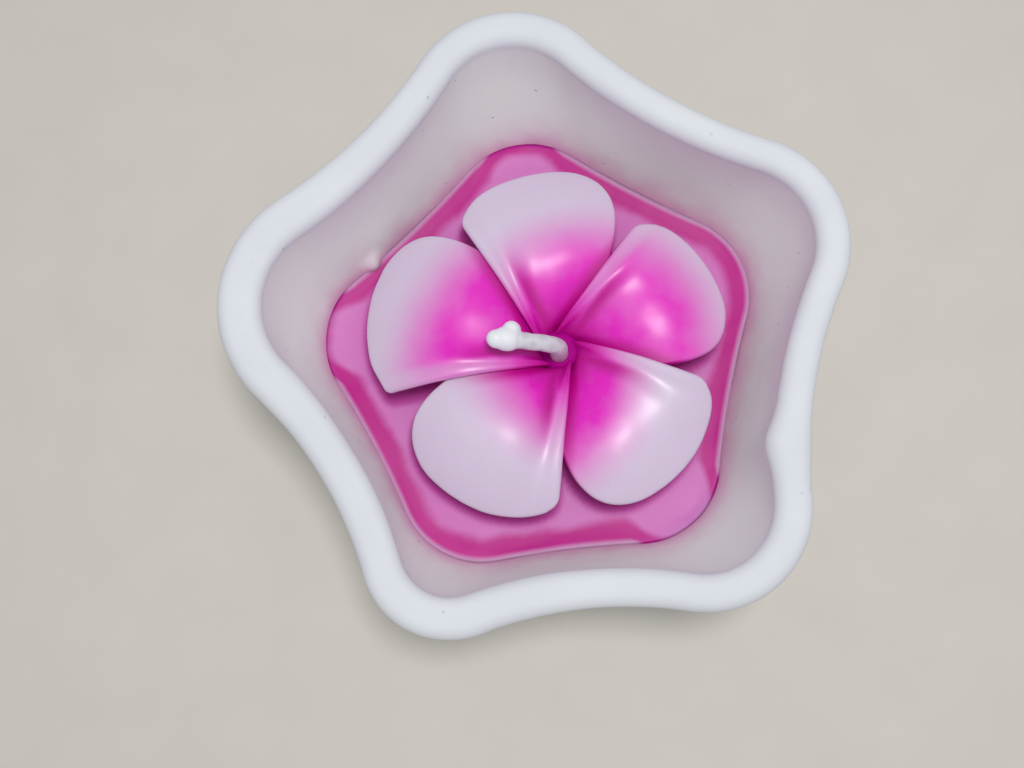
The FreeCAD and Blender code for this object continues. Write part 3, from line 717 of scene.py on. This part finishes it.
# bearing, reach and spread of each petal, the radius of its free corner; then how far
# the dye reaches along its hidden edge, its middle and its free edge, in mm from the
# flower's middle
PETALS = {
    "petal_1": (99.0, 27.2, 1.02, 2.2, (19.0, 16.5, 14.0)),
    "petal_2": (166.5, 29.3, 1.02, 1.3, (19.5, 20.5, 23.0)),
    "petal_3": (240.0, 26.7, 1.13, 2.4, (11.5, 13.0, 15.0)),
    "petal_4": (317.0, 25.2, 1.17, 3.0, (20.0, 15.5, 10.5)),
    "petal_5": (388.0, 25.0, 1.06, 2.6, (23.0, 22.0, 20.0)),
}
LIFT_TURN = 360 / len(PETALS)
# the rounding of the side edges: places along a quarter of an ellipse, in degrees
EDGE_STEPS = (82, 70, 52, 34, 16)
COLUMNS = 60
ARCH_POINTS = 44
KNEE_POINTS = 9
CLAW_POINTS = 4
TIP_POINTS = 4
PRESS_WAVES = [(7.0, 0.10), (2.5, 0.025)]


def petal_section(lift, sheet, tip):
    """One cross-section, from the foot of the claw over the top, round the tip and back below."""
    arch = np.array([CREST, WAX_LEVEL + CREST_HEIGHT - ARCH])
    run = CREST - CLAW - KNEE
    knee = arch + (-run, math.sqrt((ARCH - KNEE) ** 2 - run**2))
    touch = math.atan2(knee[1] - arch[1], knee[0] - arch[0])
    middle = ARCH + lift + sheet / 2
    end = math.acos((tip - sheet / 2 - CREST) / middle)
    foot = WAX_LEVEL - CLAW_DEPTH

    def bend(centre, radius, start, stop, count):
        angles = np.linspace(start, stop, count)
        return centre + radius * np.stack([np.cos(angles), np.sin(angles)], axis=1)

    def side(extra):
        # one face of the sheet: claw, knee and arch
        claw_x = knee[0] - KNEE - lift - extra
        claw_z = np.linspace(foot, knee[1], CLAW_POINTS)
        claw = np.column_stack([np.full(CLAW_POINTS, claw_x), claw_z])
        turn = bend(knee, KNEE + lift + extra, math.pi, touch, KNEE_POINTS)
        over = bend(arch, ARCH + lift + extra, touch, end, ARCH_POINTS)
        return np.concatenate([claw, turn[1:], over[1:]])

    nose_at = arch + middle * np.array([math.cos(end), math.sin(end)])
    nose = bend(nose_at, sheet / 2, end, end - math.pi, 2 * TIP_POINTS + 1)
    return np.concatenate([side(sheet), nose[1:-1], side(0)[::-1]])


# %% [markdown]
# The edges of a pressed petal are round, so past each side edge the sheet thins along
# a quarter of an ellipse. The free edge's outer corner is round too, and the sheet is
# folded up along that edge into a soft lip with a shallow valley behind it.
# The dye was sprayed from above into the throat, so how much lands on a point depends
# on how far it is from the flower's middle. That is worked out here for every point,
# with a soft border, and kept with the mesh for the finish to use.

# %% Petal meshes
# the three places across a petal where its dye reach is given, and the soft border
DYE_PLACES = (0.25, 0.62, 1.0)
DYE_BORDER = (-6.5, 5.5)
# the pale lip and the painted shade of the valley behind it: level distances from the
# free edge, and from the flower's middle, between which each of them comes or goes
LIP_FADE = (0.7, 2.3)
LIP_START = (3, 13)
VALLEY_START = (1.2, 2.2)
VALLEY_FADE = (2.2, 4.5)
VALLEY_END = (9, 17)
# the outline is evened out over this many degrees to each side
EVENED = 4


def outline_share(turn):
    """Share of the reach at a turn from the axis: a smooth curve through the outline."""
    turns, shares = zip(*PETAL_OUTLINE)
    spread = np.linspace(turn - EVENED, turn + EVENED, 9)
    return float(np.mean(np.interp(spread, turns, shares)))


def placed(section, psi, bearing):
    """A cross-section turned to its place round the flower, as points in mm."""
    away, high = section[:, 0], section[:, 1]
    angle, turned = math.radians(psi), math.radians(bearing)
    x = away * math.cos(angle) - SWIRL * math.sin(angle)
    y = away * math.sin(angle) + SWIRL * math.cos(angle)
    return np.column_stack([
        FLOWER[0] + x * math.cos(turned) - y * math.sin(turned),
        FLOWER[1] + x * math.sin(turned) + y * math.cos(turned), high])


def petal_marks(rings, across, lip, dye_reach):
    """What the finish needs at each point: its dye, its places, the lip and the valley's painted
    shade.
    """
    from_middle = np.linalg.norm(rings[:, :, :2] - FLOWER, axis=2)
    lip_width = np.radians(lip) * from_middle
    border = np.interp(across, DYE_PLACES, dye_reach)
    # painted shade in the crease behind the lip
    valley_shade = smooth_step(lip_width, *VALLEY_START) * (1 - smooth_step(lip_width, *VALLEY_FADE))
    return {
        "dye": 1 - smooth_step(from_middle, border + DYE_BORDER[0], border + DYE_BORDER[1]),
        "from_middle": from_middle,
        "lip": (1 - smooth_step(lip_width, *LIP_FADE)) * smooth_step(from_middle, *LIP_START),
        "lip_width": lip_width,
        "valley_shade": valley_shade * (1 - smooth_step(from_middle, *VALLEY_END)),
    }


def make_petal(name, bearing, reach, spread, corner, dye_reach):
    """One petal: cross-sections from the hidden edge to the free one, joined and closed."""
    edge_angles = np.radians(EDGE_STEPS)
    columns = [(HIDDEN_EDGE, -math.sin(a), math.cos(a)) for a in edge_angles]
    columns += [(turn, 0.0, 1.0) for turn in np.linspace(HIDDEN_EDGE, FREE_EDGE, COLUMNS)]
    columns += [(FREE_EDGE, math.sin(a), math.cos(a)) for a in edge_angles[::-1]]
    rings, across, lip = [], [], []
    for turn, past, thin in columns:
        fanned = FREE_EDGE + spread * (turn - FREE_EDGE)
        psi = fanned + LIP_TURN * past
        share = (turn - HIDDEN_EDGE) / (FREE_EDGE - HIDDEN_EDGE)
        lift = (SHEET + LAP_GAP) * (fanned - HIDDEN_EDGE) / LIFT_TURN
        lift += CROWN * math.sin(math.pi * share) ** 2 + LIP_LIFT * share**8
        lift += LIP_FOLD * math.sin(math.pi * share**8) ** 2 + SHEET * (1 - thin) / 2
        # the free corner is part of a circle, by the distance from the free edge
        tip = reach * outline_share(turn)
        to_edge = min(math.radians(FREE_EDGE + LIP_TURN - psi) * tip, corner)
        tip -= corner - math.sqrt(corner**2 - (corner - to_edge) ** 2)
        section = petal_section(lift, SHEET * thin, tip)
        rings.append(placed(section, psi, bearing))
        across.append(np.full(len(section), share))
        lip.append(np.full(len(section), (FREE_EDGE - turn) * spread - LIP_TURN * past))
    rings = np.array(rings)
    marks = petal_marks(rings, np.array(across), np.array(lip), dye_reach)
    petal = skin(name + "_wax", rings, marks)
    close_sides(petal.data, *rings.shape[:2])
    push(petal.data, unevenness(points_of(petal.data)[0], PRESS_WAVES, seed=3))
    return petal


def close_sides(mesh, rows, count):
    """Closes the first and last cross-section: each point joins the one across the sheet."""
    sheet = bmesh.new()
    sheet.from_mesh(mesh)
    sheet.verts.ensure_lookup_table()
    for row in (0, rows - 1):
        start = row * count
        for k in range(count // 2):
            ends = [start + k, start + k + 1, start + count - 2 - k, start + count - 1 - k]
            ends = list(dict.fromkeys(ends))
            if row == 0:
                ends.reverse()
            if len(ends) > 2:
                sheet.faces.new([sheet.verts[i] for i in ends]).smooth = True
    bmesh.ops.recalc_face_normals(sheet, faces=sheet.faces)
    sheet.to_mesh(mesh)
    sheet.free()


petals = {name: make_petal(name, *sizes) for name, sizes in PETALS.items()}

# %% [markdown]
# Where a petal lies over the next one or over the pool, shade is painted: a deeper
# line follows every free edge on the petal under it, and the pool is painted darkest
# close to the petals, a little more so to the lower left. Both are level distances,
# found with a tree of points.

# %% Painted shade under the petals
POOL_SHADE_SIDE = (-0.35, -0.45)
LIP_SHADOW_WIDTH = (0.4, 2.2)
POOL_SHADE_WIDTH = (0.2, 1.4)
POOL_SHADE_DEPTH = 0.7
THROAT_WIDTH = (4, 7)


def level_gap(places, others):
    """Level distance in mm from each place to the nearest of the others."""
    tree = kdtree.KDTree(len(others))
    for number, (x, y, _) in enumerate(others):
        tree.insert((x, y, 0), number)
    tree.balance()
    return np.array([tree.find((x, y, 0))[2] for x, y, _ in places])


petal_points = {name: points_of(petal.data)[0] for name, petal in petals.items()}
names = list(petals)
# each petal lies under the free edge of the one before it, and the first under the last
for name, above in zip(names, names[-1:] + names[:-1]):
    edge_gaps = np.empty(len(petal_points[above]))
    petals[above].data.attributes["lip_width"].data.foreach_get("value", edge_gaps)
    gaps = level_gap(petal_points[name], petal_points[above][edge_gaps < 0.1])
    # a painted shadow on each petal along the free edge of the one above it
    mark_points(petals[name].data, "lip_shadow", 1 - smooth_step(gaps, *LIP_SHADOW_WIDTH))
# the petals' points are moved a little to the lower left, so the pool's painted shade falls more
# that way
all_points = np.concatenate(list(petal_points.values())) + (*POOL_SHADE_SIDE, 0)
pool_places = points_of(pool.data)[0]
shade_and_throat = POOL_SHADE_DEPTH * (1 - smooth_step(level_gap(pool_places, all_points), *POOL_SHADE_WIDTH))
from_flower = np.linalg.norm(pool_places[:, :2] - FLOWER, axis=1)
in_throat = 1 - smooth_step(from_flower, *THROAT_WIDTH)
mark_points(pool.data, "shade_and_throat", np.maximum(shade_and_throat, in_throat))

# %% [markdown]
# ## Pressed wax with a sprayed throat
# The petals are the same paraffin, whitened and left almost undyed, so they are a
# milky lilac white. Light passes through their thin edges, which keeps them bright.
# Magenta dye was sprayed into the throat: a full colour near the wick that thins out
# in a soft, slightly cloudy border. The lips of the free edges caught less of it,
# because they stand towards the sprayer edge-on. The valley behind each lip is
# painted deeper, as its shade, and so is the strip under each free edge.
# They look polished by hand: satin, with a thin gloss that makes the small highlights.

# %% Pressed wax
LILAC_WHITE = "#dccde2"
SPRAYED = "#ea0cc6"
# the throat's dye colour, also used for the painted shade in the valleys and under the free edges
THROAT_AND_SHADE = "#c80696"
SPRAY_CLOUD = 4.5
# the share of dye that the lips miss, and where the throat's deep colour ends and is full
LIP_MISSES = 0.42
THROAT_FADE = (8.5, 2.0)


def pressed_paraffin():
    finish, tree, shader = new_finish("pressed_paraffin")
    place = object_place(tree)
    dye = mark(tree, "dye")
    # the sprayed dye: a cloudy amount, less on the lips
    stir = ramp(tree, cloud(tree, place, SPRAY_CLOUD, 3.0), 0.3, 0.7, 0.92, 1.08)
    kept = sums(tree, "SUBTRACT", 1.0, sums(tree, "MULTIPLY", mark(tree, "lip"), LIP_MISSES))
    landed = sums(tree, "MULTIPLY", sums(tree, "MULTIPLY", dye, stir), kept, clamp=True)
    petal_colour = blend(tree, landed, LILAC_WHITE, SPRAYED)
    # the deepest colour: the throat's dye, and painted shade in the valleys and under the free
    # edges, as far as there is dye
    throat = ramp(tree, mark(tree, "from_middle"), *THROAT_FADE, interpolation_type="SMOOTHSTEP")
    painted_shade = sums(tree, "MAXIMUM", mark(tree, "valley_shade"), mark(tree, "lip_shadow"))
    deepest = sums(tree, "MAXIMUM", throat, sums(tree, "MULTIPLY", painted_shade, dye))
    deep = sums(tree, "MULTIPLY", deepest, kept)
    satin = relief(tree, cloud(tree, place, 0.9, 3.0), 0.12, 0.04)
    plug(tree, shader, {
        "Base Color": blend(tree, deep, petal_colour, THROAT_AND_SHADE),
        "Normal": satin.outputs[0],
        "Roughness": 0.42,
        "IOR": 1.44,
        "Subsurface Weight": 0.35,
        "Subsurface Radius": (1.0, 0.45, 0.8),
        "Subsurface Scale": 1.2 * MM,
        "Coat Weight": 0.3,
        "Coat Roughness": 0.24,
    })
    return finish


sprayed_wax = pressed_paraffin()
for name, petal in petals.items():
    petal.data.materials.append(sprayed_wax)
    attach(petal, "root")
    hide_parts(name)
print("pressed wax: %d petals, deep colour within %.1f mm of the middle" % (
    len(petals), THROAT_FADE[0]))

# %% [markdown]
# ## The wick
# A candle wick is braided from cotton yarn and dipped in wax, which stiffens it and
# fills the braid until only a soft relief of the strands shows. This one stands up
# through the throat, leans to the left and ends in a cap of wax, where the cut yarns
# splay: one lobe points on and one points back.
# A tube along the wick's line and three rounded lobes are joined by a voxel remesh,
# which melts them into one skin as wax does. The braid is then pressed into it from
# each point's place along and around the line.

# %% Wick mesh
WICK_FOOT = (2.2, -0.6)
WICK_RISE = 19.5
WICK_BEND = 4.0
WICK_SLOPE = 18.0
WICK_LEAN = 177.0
WICK_END = 5.5
WICK_RADIUS = 1.2
BASE_RADIUS = 1.4
# the foot's radius holds up to the second distance along the wick, the wick's from the first
BASE_FADE = (16, 9)
AROUND = 24
# each lobe of the cap: distance past the wick's end, to its left and up, then its radii
CAP_LOBES = [((-0.5, 0.0, 0.05), (2.15, 1.75, 1.65)), ((0.9, 0.15, 0.0), (1.5, 1.35, 1.25)),
             ((-1.15, -1.3, 0.1), (1.35, 1.35, 1.2))]
BRAID_PITCH = 2.6
BRAID_DEPTH = 0.03
YARNS = 3
# the cap's wax begins and is full at these distances before the wick's end, and hides
# this share of the braid
CAP_FADE = (3.0, 1.0)
CAP_HIDES = 0.75
VOXEL = 0.13
RELAX_STEPS = 14

slope = math.radians(WICK_SLOPE)
bend_turns = np.linspace(math.pi, math.pi / 2 + slope, 14)
upright = [(0.0, h) for h in np.linspace(FLOOR_TOP, WICK_RISE, 24)]
bent = [(WICK_BEND * (1 + math.cos(a)), WICK_RISE + WICK_BEND * math.sin(a))
        for a in bend_turns[1:]]
leaning = [(bent[-1][0] + t * math.cos(slope), bent[-1][1] + t * math.sin(slope))
           for t in np.linspace(0, WICK_END, 12)[1:]]
wick_line = np.array(upright + bent + leaning)
lean = np.array([math.cos(math.radians(WICK_LEAN)), math.sin(math.radians(WICK_LEAN)), 0])
left = np.cross((0, 0, 1), lean)
line_points = np.array([*WICK_FOOT, 0]) + wick_line[:, :1] * lean + wick_line[:, 1:] * (0, 0, 1)
line_ways = np.gradient(line_points, axis=0)
line_ways /= np.linalg.norm(line_ways, axis=1)[:, None]
line_ups = np.cross(line_ways, left)
steps = np.linalg.norm(np.diff(line_points, axis=0), axis=1)
line_run = np.concatenate([[0], np.cumsum(steps)])

around = np.linspace(0, 2 * math.pi, AROUND, endpoint=False)
radii = WICK_RADIUS + (BASE_RADIUS - WICK_RADIUS) * smooth_step(line_run, *BASE_FADE)
tube = [p + r * (np.cos(around)[:, None] * left + np.sin(around)[:, None] * up)
        for p, r, up in zip(line_points, radii, line_ups)]
wick = skin("waxed_wick", tube, None, (tuple(line_points[0]), tuple(line_points[-1])))
lobes = bmesh.new()
lobes.from_mesh(wick.data)
end_frame = np.array([line_ways[-1], left, line_ups[-1]])
for place, size in CAP_LOBES:
    ball = bmesh.ops.create_icosphere(lobes, subdivisions=4, radius=1.0)["verts"]
    for vert in ball:
        spot = line_points[-1] + (np.array(place) + np.array(vert.co) * size) @ end_frame
        vert.co = Vector(spot) * MM
bmesh.ops.recalc_face_normals(lobes, faces=lobes.faces)
lobes.to_mesh(wick.data)
lobes.free()

# %% Melt the lobes together and press in the braid
melt = wick.modifiers.new("melt", "REMESH")
melt.mode = "VOXEL"
melt.voxel_size = VOXEL * MM
relax = wick.modifiers.new("relax", "SMOOTH")
relax.factor = 0.5
relax.iterations = RELAX_STEPS
worked = wick.evaluated_get(bpy.context.evaluated_depsgraph_get())
melted = bpy.data.meshes.new_from_object(worked)
wick.modifiers.clear()
wick.data = melted
melted.shade_smooth()
wick_places = points_of(melted)[0]
nearest = np.array([int(np.argmin(((line_points - p) ** 2).sum(axis=1))) for p in wick_places])
offset = wick_places - line_points[nearest]
turn_about = np.arctan2((offset * line_ups[nearest]).sum(axis=1), (offset * left).sum(axis=1))
run_along = line_run[nearest] + (offset * line_ways[nearest]).sum(axis=1)
waves = 2 * math.pi * run_along / BRAID_PITCH
braid = np.maximum(np.cos(YARNS * turn_about + waves), np.cos(YARNS * turn_about - waves))
capped = smooth_step(run_along, line_run[-1] - CAP_FADE[0], line_run[-1] - CAP_FADE[1])
push(melted, BRAID_DEPTH * braid * (1 - CAP_HIDES * capped))
mark_points(melted, "strand", braid * (1 - capped))
mark_points(melted, "cap", capped)
print("wick: %d faces, %.1f mm long" % (len(melted.polygons), line_run[-1]))

# %% [markdown]
# ## Waxed cotton
# Cotton is white and matt, and the wax that soaks it makes it greyish, a little clear
# and satin. The hollows between the strands are painted darker, as their shade, and the
# cap is almost all wax and whiter. Fine fibres run along each strand: they are about
# 0.02 mm thick on real yarn, too fine to show, so they are drawn ten times as coarse.

# %% Waxed cotton
COTTON = "#d9d6de"
BRAID_HOLLOW_SHADE = "#d0cdd6"
CAP_WAX = "#eef0f6"
FIBRE = 0.2


def waxed_cotton():
    finish, tree, shader = new_finish("waxed_cotton")
    place = object_place(tree)
    # between the strands the cotton is darker: painted shade in the braid's hollows
    shown = ramp(tree, mark(tree, "strand"), -0.4, 0.6)
    cotton = blend(tree, shown, BRAID_HOLLOW_SHADE, COTTON)
    fibres = relief(tree, cloud(tree, place, FIBRE, 2.0), 0.25, 0.04)
    plug(tree, shader, {
        "Base Color": blend(tree, mark(tree, "cap"), cotton, CAP_WAX),
        "Normal": fibres.outputs[0],
        "Roughness": 0.45,
        "IOR": 1.44,
        "Subsurface Weight": 0.25,
        "Subsurface Radius": (1.0, 0.9, 0.8),
        "Subsurface Scale": 0.5 * MM,
    })
    return finish


melted.materials.clear()
melted.materials.append(waxed_cotton())
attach(wick, "root")
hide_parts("wick")
print("cotton: fibres drawn %.1f mm coarse" % FIBRE)

# %% [markdown]
# ## The tin under the wick
# The wick is crimped in a small stamped tin that stands on the dish floor under the
# wax, so the wick stays upright when the wax melts. Nothing of it shows. It keeps its
# drawn shape and gets the finish of tinplate: a bright, slightly brushed metal.

# %% Tinplate
TIN = "#c7c9cc"
ROLLING = 0.3
ROLLED_OUT = 0.05


def tinplate():
    finish, tree, shader = new_finish("tinplate")
    drawn_out = add(tree, "ShaderNodeMapping", {
        "Vector": object_place(tree), "Scale": (ROLLED_OUT, 1.0, 1.0)})
    lines = cloud(tree, drawn_out.outputs[0], ROLLING, 4.0)
    plug(tree, shader, {
        "Base Color": paint(TIN),
        "Roughness": ramp(tree, lines, 0.3, 0.7, 0.25, 0.45),
        "Metallic": 1.0,
    })
    return finish


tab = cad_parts["wick_tab"]
tab.data.materials.clear()
tab.data.materials.append(tinplate())
tab_low, tab_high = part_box("wick_tab")
print("tin: %.1f mm across" % ((tab_high[0] - tab_low[0]) / MM))

# %% [markdown]
# ## Last look at the sizes
# Both boxes, the drawing's and the dressed candle's, are printed side by side
# before the work is closed. The dressed candle has to stay as large as the
# drawing.

# %% Sizes and close
dressed_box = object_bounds()
boxes = {"cad": [list(map(float, corner)) for corner in cad_box],
         "visual": [list(map(float, corner)) for corner in dressed_box]}
for key, (low, high) in boxes.items():
    print("%s: %s mm" % (key, [round((b - a) / MM, 2) for a, b in zip(low, high)]))
